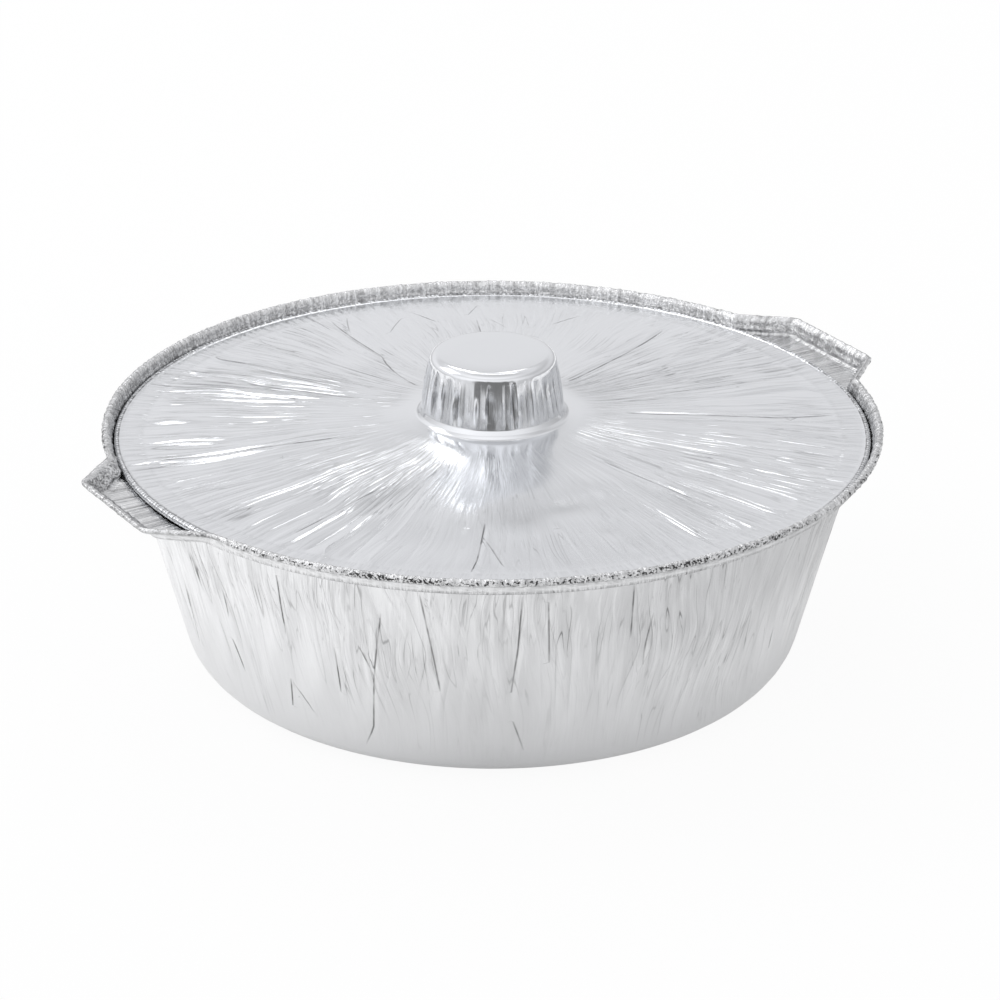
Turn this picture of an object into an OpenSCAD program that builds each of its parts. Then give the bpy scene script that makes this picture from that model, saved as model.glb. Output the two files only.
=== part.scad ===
// Round foil pot with two carrying lips and a loose foil lid that has a pressed knob.
// The pot and the lid are one pressed sheet each: a section with true bends and a rolled
// edge, swept round the rim's outline, with the pleats that the pressing leaves.

/* [Pot] */
// Diameter over the rolled edge
rim_d = 270; // [220:1:320]
// Height from the floor to the top of the rolled edge
rim_h = 87.6; // [60:0.2:120]
// Diameter at which the wall's line meets the floor
floor_d = 209.2; // [170:0.2:215]
// Radius of the bend from the floor into the wall
floor_bend = 18; // [8:0.5:24]
// Drop from the top of the rolled edge to the underside of the ledge
ledge_drop = 6.8; // [5.5:0.1:10]
// Width of the flat ledge that carries the lid
ledge_w = 5.8; // [4.5:0.1:8]
// How far the upstand leans out between the ledge and the rolled edge
upstand_lean = 1; // [0.5:0.1:2]
// Radius of the bends at the ledge
ledge_bend = 1; // [0.6:0.1:1.4]
// Outer diameter of the rolled edge
curl_d = 2.9; // [2.4:0.1:4]

/* [Handles] */
// How far each lip stands out past the rim's circle
handle_reach = 11.6; // [6:0.2:18]
// Width of a lip's straight edge
handle_w = 46; // [30:1:60]
// Width of a lip where it leaves the rim's circle
handle_root_w = 75; // [64:1:90]
// How much further the upstand leans out along the lips
handle_lean = 3.2; // [0:0.2:4]
// How much is rounded off at a lip's corners
handle_round = 0.5; // [0.2:0.1:1]

/* [Lid] */
// Clearance all round between the lid's bead and the upstand
lid_clearance = 0.7; // [0.4:0.1:1.2]
// Height of the lid's bead above the ledge it rests on
seat_gap = 0.25; // [0.2:0.05:0.5]
// Outer diameter of the lid's rolled bead
bead_d = 2.5; // [2.2:0.1:3]
// Width of the level ring inside the bead
ring_w = 9; // [5:0.5:14]
// Rise of the lid from the level ring to the foot of the knob
lid_rise = 6; // [2:0.5:12]

/* [Knob] */
// Height of the knob above its foot ring
knob_h = 19.8; // [12:0.2:30]
// Diameter of the knob's wall at its foot
knob_foot_d = 48.4; // [40:0.2:64]
// Diameter of the knob's wall below its rounded top
knob_top_d = 42.8; // [34:0.2:50]
// Radius of the knob's rounded top edge
knob_bend = 2.2; // [1:0.2:4]
// Width of the rounded ring round the knob's foot
foot_ring_w = 2.2; // [1.6:0.2:5]
// Height of the rounded ring round the knob's foot
foot_ring_h = 2.8; // [1.6:0.2:5]

/* [Foil] */
// Thickness of the foil, drawn stouter than rolled foil
foil_t = 0.4; // [0.3:0.05:0.5]
// Depth of the deepest pleats, at the top of the wall
pleat_depth = 1.3; // [0.2:0.1:1.6]
// Depth of the deepest creases across the lid
crease_depth = 0.9; // [0.2:0.05:1.4]
// Depth of the flutes in the knob's wall
flute_depth = 0.5; // [0.1:0.05:0.8]
// Depth of the crimping along the rolled edge
crimp_depth = 0.15; // [0:0.05:0.25]
// Seed of the uneven pleats
pleat_seed = 31; // [1:1:99]

/* [Hidden] */

rim_r = rim_d / 2;
half_t = foil_t / 2;

// The pot's section, along the middle of the foil, as distances from the axis and heights.
ledge_z = rim_h - ledge_drop + half_t;
curl_r = curl_d / 2 - half_t;
curl_at = [rim_r - curl_d / 2, rim_h - curl_d / 2];
upstand_r = curl_at.x - curl_r;
ledge_out = upstand_r - upstand_lean;
ledge_in = ledge_out - ledge_w;
floor_r = floor_d / 2;
wall_turn = atan2(ledge_z, ledge_in - floor_r);
floor_flat_r = floor_r - floor_bend * tan(wall_turn / 2);
wall_way = [cos(wall_turn), sin(wall_turn)];
wall_foot = [floor_r, half_t] + wall_way * floor_bend * tan(wall_turn / 2);
wall_top = [ledge_in, ledge_z] - wall_way * ledge_bend;
upstand_way = [upstand_lean, curl_at.y - ledge_z] / norm([upstand_lean, curl_at.y - ledge_z]);

// The lid's section stands on the ledge and clears the upstand.
bead_r = bead_d / 2 - half_t;
bead_z = ledge_z + half_t + seat_gap + bead_d / 2;
upstand_at_bead = ledge_out + upstand_way.x / upstand_way.y * (bead_z - ledge_z) - half_t;
lid_r = upstand_at_bead - lid_clearance;
bead_at = [lid_r - bead_d / 2, bead_z];
ring_out = bead_at.x - bead_r;
ring_in = ring_out - ring_w;
foot_r = knob_foot_d / 2 + foot_ring_w;
foot_z = bead_z + lid_rise;
knob_foot_z = foot_z + foot_ring_h;
knob_top_z = knob_foot_z + knob_h;
knob_top_r = knob_top_d / 2;
ring_crown = [foot_r - foot_ring_w / 3, foot_z + foot_ring_h * 0.7];

// The lips' outline: a straight edge and two slanting sides that run into the rim's circle.
lip_edge = rim_r + handle_reach;
lip_corner = [lip_edge, handle_w / 2];
lip_root = [sqrt(rim_r * rim_r - handle_root_w * handle_root_w / 4), handle_root_w / 2];
lip_side = lip_root - lip_corner;
lip_side_turn = atan2(-lip_side.x, lip_side.y);
lip_side_off = lip_corner * [cos(lip_side_turn), sin(lip_side_turn)];

// Columns of the pot: closer along the lips, with one on each corner.
corner_a = atan2(lip_corner.y, lip_corner.x);
root_blend_a = 4;
lip_a = atan2(lip_root.y, lip_root.x) + root_blend_a;
slant_cols = 5;
edge_cols = 6;
lip_cols = 2 * slant_cols + edge_cols;
side_cols = 41;
half_cols = lip_cols + side_cols;
pot_cols = 2 * half_cols;
lid_cols = 72;

bend_steps = 3;
knob_bend_steps = 2;
knob_bend_to = 10;
curl_steps = 5;
curl_from = 180;
curl_to = -110;

function unit(v) = v / norm(v);
function left_of(v) = [-v.y, v.x];
function way(angle) = [cos(angle), sin(angle)];

// Points on a round bend or roll, from one angle to another about its centre.
function arc_points(centre, r, from, to, steps) =
    [for (k = [0 : steps]) centre + r * way(from + (to - from) * k / steps)];

// One face of the foil: the section's middle line moved sideways, with mitred corners.
function heading(path, k) =
    k < 0 ? [1, 0] : unit(path[min(k, len(path) - 2) + 1] - path[min(k, len(path) - 2)]);
function mitre(path, k) =
    let (a = left_of(heading(path, k - 1)), b = left_of(heading(path, k)))
    (a + b) / (1 + a * b);
function face_of(path, side) =
    [for (k = [0 : len(path) - 1]) path[k] + side * half_t * mitre(path, k)];

// Distance from the axis to the rim's outline in one direction, set in by a margin, and along
// the lips by what the upstand leans there as well.
function soft_min(a, b, k) = min(a, b) - pow(max(k - abs(a - b), 0), 2) / k / 4;
function soft_max(a, b, k) = -soft_min(-a, -b, k);
function from_lip(angle) = abs(angle - 180 * round(angle / 180));
function lip_reach(a, margin) =
    soft_min((lip_edge - margin) / cos(a), (lip_side_off - margin) / cos(a - lip_side_turn),
             4 * handle_round);
function outline_reach(angle, margin, lean) =
    let (a = from_lip(angle))
    a > lip_a ? rim_r - margin
    : soft_max(rim_r - margin, lip_reach(a, margin + lean), 2 * handle_round);

pot_section = concat(
    [[floor_flat_r, half_t]],
    [for (k = [1 : bend_steps])
        [floor_flat_r, half_t + floor_bend]
        + floor_bend * way(-90 + wall_turn * k / bend_steps)],
    [wall_foot + (wall_top - wall_foot) / 3, wall_foot + (wall_top - wall_foot) * 2 / 3],
    [wall_top, [ledge_in + ledge_bend, ledge_z]],
    [[ledge_out - ledge_bend, ledge_z], [ledge_out, ledge_z] + upstand_way * ledge_bend],
    arc_points(curl_at, curl_r, curl_from, curl_to, curl_steps)
);

knob_bend_at = [knob_top_r - knob_bend, knob_top_z - knob_bend];
lid_section = concat(
    arc_points(knob_bend_at, knob_bend - half_t, 90, knob_bend_to, knob_bend_steps),
    [[(knob_top_r + knob_foot_d / 2) / 2, (knob_top_z + knob_foot_z) / 2]],
    [[knob_foot_d / 2, knob_foot_z], ring_crown, [foot_r, foot_z]],
    [for (share = [1/3, 2/3, 1])
        [foot_r, foot_z] + ([ring_in, bead_z] - [foot_r, foot_z]) * share],
    arc_points(bead_at, bead_r, curl_from, curl_to, curl_steps)
);

// How strongly each row of a section is pleated, from 0 to 1.
wall_foot_row = bend_steps;
wall_top_row = wall_foot_row + 3;
upstand_row = wall_top_row + 3;
faint = 0.15;
function wall_share(row) =
    row < wall_foot_row ? 0
    : min(1, faint + (1 - faint) * (row - wall_foot_row) / (wall_top_row - wall_foot_row));
function crimp_share(row) = row > upstand_row ? 1 : 0;
function lean_share(row, z) =
    row > upstand_row ? 0 : 1 - max(0, min(1, (z - ledge_z) / (curl_at.y - ledge_z)));
flute_rows = [0, 0.2, 0.5, 1, 0.5];
function flute_share(row) = row < len(flute_rows) ? flute_rows[row] : 0;
crease_rows = [7, 8];
function crease_share(row) = len(search(row, crease_rows)) > 0 ? 1 : 0;

// Uneven sizes for the pleats: one for each column, and a smaller stray for each point.
function uneven(count, low, high, turn) = rands(low, high, count, pleat_seed + turn);
function side_to_side(i) = i % 2 == 0 ? 1 : -1;
pleat_size = uneven(pot_cols, 0.15, 0.7, 1);
pleat_stray = uneven(pot_cols * len(pot_section), -0.3, 0.3, 2);
crimp_size = uneven(pot_cols * len(pot_section), -1, 0, 3);
flute_size = uneven(lid_cols, 0.3, 1, 4);
crease_size = uneven(lid_cols, -0.7, 0.7, 5);
crease_stray = uneven(lid_cols * len(lid_section), -0.3, 0.3, 6);

function pot_angle(i) = lookup(i, concat(
    [for (half = [0, 1]) each [
        [half * half_cols, half * 180 - lip_a],
        [half * half_cols + slant_cols, half * 180 - corner_a],
        [half * half_cols + slant_cols + edge_cols, half * 180 + corner_a],
        [half * half_cols + lip_cols, half * 180 + lip_a]]],
    [[pot_cols, 360 - lip_a]]));

// Where a point of the pot's section goes in one column, wall pleats and crimping included.
on_outline_r = (ledge_in + ledge_out) / 2;
function pot_point(i, row, p) =
    let (
        angle = pot_angle(i),
        pick = i * len(pot_section) + row,
        pleat = pleat_depth / 2 * wall_share(row) * (side_to_side(i) * pleat_size[i] + pleat_stray[pick]),
        crimp = crimp_depth * crimp_share(row) * crimp_size[pick],
        lean = handle_lean * lean_share(row, p.y),
        reach = p.x < on_outline_r ? p.x + pleat : outline_reach(angle, rim_r - p.x - crimp, lean)
    )
    [reach * cos(angle), reach * sin(angle), p.y];

// Where a point of the lid's section goes in one column, flutes and creases included.
function lid_point(i, row, p) =
    let (
        angle = 360 * i / lid_cols,
        pick = i * len(lid_section) + row,
        flute = flute_depth / 2 * flute_share(row) * side_to_side(i) * flute_size[i],
        crease = crease_depth / 2 * crease_share(row) * (crease_size[i] + crease_stray[pick])
    )
    [(p.x + flute) * cos(angle), (p.x + flute) * sin(angle), p.y + crease];

// A sheet closed on itself: one face of the foil out to the rolled tip, the other face back.
function sheet_faces(cols, rows) = concat(
    [for (i = [0 : cols - 1], k = [0 : 2 * rows - 2])
        let (a = i * 2 * rows + k, b = ((i + 1) % cols) * 2 * rows + k)
        each [[a, a + 1, b], [b, a + 1, b + 1]]],
    [[for (i = [0 : cols - 1]) i * 2 * rows]],
    [[for (i = [cols - 1 : -1 : 0]) (i + 1) * 2 * rows - 1]]
);

module pot() {
    inside = face_of(pot_section, 1);
    outside = face_of(pot_section, -1);
    rows = len(pot_section);
    color("gainsboro")
        polyhedron(
            points = [for (i = [0 : pot_cols - 1]) each concat(
                [for (k = [0 : rows - 1]) pot_point(i, k, inside[k])],
                [for (k = [rows - 1 : -1 : 0]) pot_point(i, k, outside[k])])],
            faces = sheet_faces(pot_cols, rows)
        );
}

module lid() {
    top = face_of(lid_section, 1);
    under = face_of(lid_section, -1);
    rows = len(lid_section);
    color("silver")
        polyhedron(
            points = [for (i = [0 : lid_cols - 1]) each concat(
                [for (k = [0 : rows - 1]) lid_point(i, k, top[k])],
                [for (k = [rows - 1 : -1 : 0]) lid_point(i, k, under[k])])],
            faces = sheet_faces(lid_cols, rows)
        );
}

pot();
lid();
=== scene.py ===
import math

import bpy
import numpy as np
from mathutils import Matrix, Vector


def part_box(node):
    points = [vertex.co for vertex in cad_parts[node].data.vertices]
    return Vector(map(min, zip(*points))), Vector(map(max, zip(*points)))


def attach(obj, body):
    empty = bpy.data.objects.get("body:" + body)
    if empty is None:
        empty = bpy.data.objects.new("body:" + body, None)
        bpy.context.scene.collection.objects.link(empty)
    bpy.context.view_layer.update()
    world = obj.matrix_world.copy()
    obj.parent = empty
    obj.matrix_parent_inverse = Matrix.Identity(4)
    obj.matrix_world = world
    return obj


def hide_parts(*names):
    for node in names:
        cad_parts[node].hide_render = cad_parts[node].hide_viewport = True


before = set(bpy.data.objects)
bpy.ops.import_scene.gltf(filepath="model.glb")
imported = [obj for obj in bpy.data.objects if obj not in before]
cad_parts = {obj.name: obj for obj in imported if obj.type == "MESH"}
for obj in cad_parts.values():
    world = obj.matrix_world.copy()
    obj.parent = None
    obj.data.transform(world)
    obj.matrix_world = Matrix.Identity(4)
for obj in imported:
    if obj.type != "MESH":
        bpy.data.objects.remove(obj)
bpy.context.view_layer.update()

mm = 0.001
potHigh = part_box("pot")[1] / mm
lidLow, lidHigh = (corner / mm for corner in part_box("lid"))
print("frame loaded")


# The foil's section: a middle line in (distance from axis, height), both in millimetres
class Section:
    def __init__(self, start):
        self.at = [start]
        self.facing = [(0.0, 1.0)]
        self.zone = [("start", 0.0)]

    def add(self, point, facing, zone, share):
        self.at.append(point)
        self.facing.append(facing)
        self.zone.append((zone, share))

    def run(self, end, zone, steps):
        start = self.at[-1]
        out, up = end[0] - start[0], end[1] - start[1]
        length = math.hypot(out, up)
        for step in range(1, steps + 1):
            share = step / steps
            point = (start[0] + out * share, start[1] + up * share)
            self.add(point, (-up / length, out / length), zone, share)

    def bend(self, centre, radius, fromAngle, toAngle, zone, steps):
        side = 1 if toAngle < fromAngle else -1
        for step in range(1, steps + 1):
            angle = math.radians(fromAngle + (toAngle - fromAngle) * step / steps)
            facing = (side * math.cos(angle), side * math.sin(angle))
            point = (centre[0] + radius * math.cos(angle), centre[1] + radius * math.sin(angle))
            self.add(point, facing, zone, step / steps)

    def corner(self, corner, after, radius, runZone, runSteps, bendZone, bendSteps):
        # a straight run up to a rounded corner, and round it towards the next corner
        corner, after = np.array(corner), np.array(after)
        back = np.array(self.at[-1]) - corner
        ahead = after - corner
        back, ahead = back / np.linalg.norm(back), ahead / np.linalg.norm(ahead)
        half = math.acos(float(back @ ahead)) / 2
        reach = radius / math.tan(half)
        middle = (back + ahead) / np.linalg.norm(back + ahead)
        centre = corner + middle * radius / math.sin(half)
        begin, end = corner + back * reach, corner + ahead * reach
        fromAngle = math.degrees(math.atan2(begin[1] - centre[1], begin[0] - centre[0]))
        toAngle = math.degrees(math.atan2(end[1] - centre[1], end[0] - centre[0]))
        turn = (toAngle - fromAngle + 180) % 360 - 180
        self.run(tuple(begin), runZone, runSteps)
        self.bend(tuple(centre), radius, fromAngle, fromAngle + turn, bendZone, bendSteps)


# Uneven fields and folds. A place round the axis is given in turns, from 0 to 1.
def smooth(value):
    value = np.clip(value, 0, 1)
    return value * value * (3 - 2 * value)


def bell(value, middle, width):
    return math.exp(-((value - middle) / width) ** 2)


def degreesApart(turn, degrees):
    return (np.asarray(turn) * 360 - degrees + 180) % 360 - 180


def sideways(turn, centre, radius):
    # signed distance along a circle from a place on it, in millimetres
    return ((turn - centre + 0.5) % 1.0 - 0.5) * 2 * math.pi * radius


def ripple(seed, around, along):
    # a smooth uneven field that closes on itself; around and along count its bumps
    grid = np.random.default_rng(seed).uniform(-1, 1, (around, along + 3))

    def field(turn, way):
        u = (np.asarray(turn) % 1.0) * around
        v = np.clip(np.asarray(way) * along, 0, along - 1e-6) + np.zeros_like(u)
        iu, iv = np.floor(u).astype(int), np.floor(v).astype(int)
        fu, fv = smooth(u - iu), smooth(v - iv)
        a, b = iu % around, (iu + 1) % around
        low = grid[a, iv] * (1 - fu) + grid[b, iv] * fu
        high = grid[a, iv + 1] * (1 - fu) + grid[b, iv + 1] * fu
        return low * (1 - fv) + high * fv

    return field


finest = 1440  # columns of points round the finest rings; coarser rings use every 2nd, 4th and so on


def columnsOf(count):
    return np.arange(count) * (finest // count)


class Folds:
    # Folds that run along columns of points: ridge and valley, and straight between them.
    def __init__(self, seed, count, low=(0.0, 0.0), high=(1.0, 1.0), soft=0.15, power=1.0, snap=1, wave=0.0,
                 uneven=0.5):
        draw = np.random.default_rng(seed)
        places = (np.arange(count) + draw.uniform(-0.4, 0.4, count)) / count * finest
        self.at = np.unique(np.round(places / snap).astype(int) * snap) % finest
        self.at.sort()
        count = len(self.at)
        side = np.where(np.arange(count) % 2, 1.0, -1.0)
        self.height = side * draw.uniform(0.0, 1.0, count) ** power
        self.height *= draw.choice([1.0, -0.5], count, p=[0.8, 0.2])
        self.low = draw.uniform(*low, count)
        self.high = draw.uniform(*high, count)
        self.soft = soft
        self.wave = wave
        self.uneven = uneven
        self.drift = ripple(seed + 1, max(6, count // 3), 4)
        self.swell = ripple(seed + 2, count, 5)

    def evenly(self, step):
        # puts the folds on every so many columns, for folds that the columns themselves follow
        self.at = np.arange(len(self.at)) * step
        return self

    def strength(self, way):
        return smooth((way - self.low) / self.soft + 0.5) * smooth((self.high - way) / self.soft + 0.5)

    def places(self, way):
        return self.at + self.wave * self.drift(self.at / finest, way)

    def heights(self, columns, way):
        tall = self.height * (0.8 + self.uneven * self.swell(self.at / finest, way)) * self.strength(way)
        return np.interp(columns, self.places(way), tall, period=finest)

    def ridges(self, columns, way, width):
        # thin ridges that stand on their own, width columns to each side
        centre = self.places(way)
        tall = (0.5 + 0.5 * np.abs(self.height)) * self.strength(way)
        tall = tall * smooth(1.1 + 1.6 * self.swell(self.at / finest, way))
        places = np.concatenate([centre - width, centre, centre + width])
        return np.interp(columns, places, np.concatenate([0 * tall, tall, 0 * tall]), period=finest)

    def lines(self, columns, turn, way, radius):
        # signed distance to the nearest fold in millimetres, and how deep that fold is
        count = len(self.at)
        around = np.interp(self.places(way), np.append(columns, finest), np.append(turn, turn[0] + 1.0))
        deep = np.abs(self.height) * self.strength(way)
        deep = deep * smooth(1.2 + 2.2 * self.swell(self.at / finest, way))
        after = np.searchsorted(around, turn + 1e-9, side="right")
        left, right = (after - 1) % count, after % count
        toLeft, toRight = (turn - around[left]) % 1.0, (around[right] - turn) % 1.0
        nearLeft = toLeft < toRight
        apart = np.where(left % 2, 1.0, -1.0) * np.where(nearLeft, toLeft, toRight)
        return apart * 2 * math.pi * radius, np.where(nearLeft, deep[left], deep[right])


class Weave:
    # Where the columns stand round the axis: they lean and wander with the main folds.
    def __init__(self, seed, folds, shares, wander):
        draw = np.random.default_rng(seed)
        self.base = (np.arange(folds) + draw.uniform(-0.36, 0.36, folds)) / folds
        self.shares = np.array(shares)
        self.wander = wander
        self.broad = ripple(seed + 1, folds // 9, 3)
        self.close = ripple(seed + 2, folds, 3)

    def turns(self, columns, way, free):
        move = self.wander * min(1.0, 3.0 * (1.0 - way)) * self.broad(self.base, way)
        move = move + 0.09 / len(self.base) * self.close(self.base, way)
        folds = self.base + move
        ahead = np.append(folds[1:], folds[0] + 1.0)
        fold, share = columns // len(self.shares), self.shares[columns % len(self.shares)]
        placed = folds[fold] + (ahead[fold] - folds[fold]) * share
        even = columns / finest
        return even + (placed - even) * free


# A listed crease is a valley with a low ridge beside it. Lengths are in millimetres, for a
# crease of depth 1.
handCrease = {
    "taper": 5.0,
    "valleyDepth": 0.30,
    "valleyReach": 1.8,
    "ridgeHeight": 0.16,
    "ridgeReach": 1.6,
    "drawnReach": 2.0,
    "farAway": 99.0,
}


def handCreases(creases, turn, way, radius):
    # creases are given as (depth, ((degrees, place along the band), ...)): push, distance, depth
    made = handCrease
    push, nearest, depth = 0 * turn, made["farAway"] + 0 * turn, 0 * turn
    for deep, places in creases:
        places = sorted(places, key=lambda place: place[1])
        along = [place[1] for place in places]
        if not along[0] <= way <= along[-1]:
            continue
        centre = np.interp(way, along, [place[0] for place in places]) / 360
        ends = smooth((way - along[0]) / made["taper"]) * smooth((along[-1] - way) / made["taper"])
        apart = sideways(turn, centre, radius)
        valley = np.clip(1 - np.abs(apart) / made["valleyReach"], 0, 1)
        ridge = np.clip(1 - np.abs(apart - made["valleyReach"]) / made["ridgeReach"], 0, 1)
        push = push - made["valleyDepth"] * deep * ends * valley
        push = push + made["ridgeHeight"] * deep * ends * ridge
        closer = np.abs(apart) < np.abs(nearest)
        depth = np.where(closer, deep * ends * (np.abs(apart) < made["drawnReach"]), depth)
        nearest = np.where(closer, apart, nearest)
    return push, nearest, depth


def inScene(name, data):
    made = bpy.data.objects.new(name, data)
    bpy.context.scene.collection.objects.link(made)
    return made


# Meshes made of closed rings of points
# notes carried to the finish: one of them is painted shade laid on the colour, and below 0 painted
# highlight; fold, crease, pits and crimp also place painted shade
noteNames = ("fold", "foldDepth", "crease", "creaseDepth", "crush", "pits", "crimp", "pressed", "folded")


class Sheet:
    def __init__(self):
        self.rings = []
        self.notes = {name: [] for name in noteNames}

    def ring(self, points, notes=None):
        self.rings.append(points)
        for name in noteNames:
            values = (notes or {}).get(name, 9.0 if name in ("fold", "crease") else 0.0)
            self.notes[name].append(np.zeros(len(points)) + values)

    def tip(self, height):
        self.ring(np.array([[0.0, 0.0, height]]))

    def faces(self):
        counts = [len(ring) for ring in self.rings]
        starts = np.concatenate([[0], np.cumsum(counts)])
        faces = []
        for k in range(len(counts) - 1):
            a, b = counts[k], counts[k + 1]
            p, q = int(starts[k]), int(starts[k + 1])
            if a == 1:
                faces += [(p, q + (i + 1) % b, q + i) for i in range(b)]
            elif b == 1:
                faces += [(q, p + i, p + (i + 1) % a) for i in range(a)]
            elif a == b:
                faces += [(p + i, p + (i + 1) % a, q + (i + 1) % b, q + i) for i in range(a)]
            elif b == 2 * a:
                for i in range(a):
                    j, m, n = q + 2 * i, q + 2 * i + 1, q + (2 * i + 2) % b
                    c, d = p + i, p + (i + 1) % a
                    faces += [(c, m, j), (c, d, m), (d, n, m)]
            else:
                for i in range(b):
                    j, m, n = p + 2 * i, p + 2 * i + 1, p + (2 * i + 2) % a
                    c, d = q + i, q + (i + 1) % b
                    faces += [(c, j, m), (c, m, d), (d, m, n)]
        return faces

    def piece(self, name):
        faces = self.faces()
        mesh = bpy.data.meshes.new(name)
        mesh.from_pydata((np.vstack(self.rings) * mm).tolist(), [], faces)
        for label, values in self.notes.items():
            layer = mesh.attributes.new(label, "FLOAT", "POINT")
            layer.data.foreach_set("value", np.concatenate(values).astype(np.float32))
        mesh.validate()
        mesh.shade_smooth()
        print(name, "has", sum(len(face) - 2 for face in faces), "triangles")
        return inScene(name, mesh)


# Shader wires and nodes
class Wire:
    def __init__(self, bench, socket):
        self.bench = bench
        self.socket = socket

    def maths(self, operation, first, second):
        return self.bench.node("ShaderNodeMath", {"operation": operation}, {0: first, 1: second})

    def __add__(self, other):
        return self.maths("ADD", self, other)

    def __radd__(self, other):
        return self.maths("ADD", other, self)

    def __sub__(self, other):
        return self.maths("SUBTRACT", self, other)

    def __rsub__(self, other):
        return self.maths("SUBTRACT", other, self)

    def __mul__(self, other):
        return self.maths("MULTIPLY", self, other)

    def __rmul__(self, other):
        return self.maths("MULTIPLY", other, self)

    def __abs__(self):
        return self.bench.node("ShaderNodeMath", {"operation": "ABSOLUTE"}, {0: self})


class Bench:
    def __init__(self, tree):
        self.tree = tree
        tree.nodes.clear()

    def node(self, kind, settings=None, inputs=None, output=0):
        made = self.tree.nodes.new(kind)
        for name, value in (settings or {}).items():
            if name == "stops":
                ramp = made.color_ramp.elements
                ramp[0].position, ramp[0].color = value[0]
                ramp[1].position, ramp[1].color = value[-1]
                for position, colour in value[1:-1]:
                    ramp.new(position).color = colour
            else:
                setattr(made, name, value)
        for name, value in (inputs or {}).items():
            if isinstance(value, Wire):
                self.tree.links.new(value.socket, made.inputs[name])
            else:
                made.inputs[name].default_value = value
        return Wire(self, made.outputs[output]) if made.outputs else None

    def ease(self, value, low, high, start=0.0, end=1.0):
        sockets = {"Value": value, "From Min": low, "From Max": high, "To Min": start, "To Max": end}
        return self.node("ShaderNodeMapRange", {"interpolation_type": "SMOOTHSTEP"}, sockets)

    def vector(self, operation, first, second=(0, 0, 0), output=0):
        return self.node("ShaderNodeVectorMath", {"operation": operation}, {0: first, 1: second}, output)

    def note(self, name):
        return self.node("ShaderNodeAttribute", {"attribute_name": name}, output=2)

    def panels(self, first, second, count, shade):
        # soft light and dark wedges round an axis, given the two parts of a place square to it
        turn = self.node("ShaderNodeMath", {"operation": "ARCTAN2"}, {0: first, 1: second})
        return 1.0 + self.node("ShaderNodeMath", {"operation": "SINE"}, {0: turn * count}) * shade

    def noise(self, place, scale, detail=2.0, roughness=0.5):
        sockets = {"Vector": place, "Scale": scale, "Detail": detail, "Roughness": roughness}
        return self.node("ShaderNodeTexNoise", {"noise_dimensions": "3D"}, sockets)


def newFinish(name):
    material = bpy.data.materials.new(name)
    material.use_nodes = True
    return material, Bench(material.node_tree)


# In each look, foldDark, tuckDark, lineDark, creaseDark and foldShade set painted shade along folds, tucks,
# fold lines and creases, and in fold hollows
foilLooks = {
    "pot": {
        "colour": (0.865, 0.87, 0.878, 1), "roughness": 0.185, "roughSpread": 0.10,
        "middle": 0.118, "along": (0.0, 0.0, 0.085), "slant": 0.16,
        "folds": 210.0, "foldRise": 0.95, "foldDark": 0.80, "foldShade": 0.14,
        "tucks": 520.0, "tuckRise": 0.26, "tuckDark": 0.30,
        "lineWidth": 0.17, "lineDark": 0.30, "creaseWidth": 0.52, "creaseDark": 0.97,
    },
    "lid": {
        "colour": (0.822, 0.834, 0.855, 1), "roughness": 0.135, "roughSpread": 0.06,
        "middle": 0.100, "along": (0.055, 0.055, 0.0), "slant": 0.12,
        "folds": 250.0, "foldRise": 0.95, "foldDark": 0.52, "foldShade": 0.08,
        "tucks": 640.0, "tuckRise": 0.26, "tuckDark": 0.24,
        "lineWidth": 0.17, "lineDark": 0.35, "creaseWidth": 0.46, "creaseDark": 0.92,
    },
}

# What the two sheets share. Scales are per metre, rises and sinks in millimetres. Brackets hold an
# ease: from, to, and the values before and after where they aren't 0 and 1.
foilGrain = {
    "slantScale": 16.0, "streakScale": 1300.0, "patchScale": 45.0, "busyScale": 30.0,
    "gapScale": 110.0, "crumbScale": 1250.0, "crumbPatch": 0.4,
    "knobEdge": (0.020, 0.045), "busy": (0.38, 0.60, 0.25, 1.0),
    "foldLine": 0.013, "foldPatch": (0.47, 0.55), "tuckLine": 0.030, "tuckPatch": (0.44, 0.56, 1.0, 0.2),
    "lineDepth": (0.25, 0.9), "creaseGaps": (0.36, 0.56, 0.45, 1.0), "pitEdge": (0.52, 0.59),
    "crimpEdge": (0.42, 0.58), "hollowWidth": 0.13, "bright": 0.98,
    # pitDark and crimpDark set painted shade in pits and crimps
    "streakShade": 0.05, "foldedShade": 0.24, "pitDark": 0.92, "crimpDark": 0.4, "roughMiddle": 0.8,
    "streakRise": 0.03, "crushRise": 0.45, "pitSink": 0.10, "lineSink": 0.04, "creaseSink": 0.09,
    "crimpSink": 0.12,
}


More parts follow.
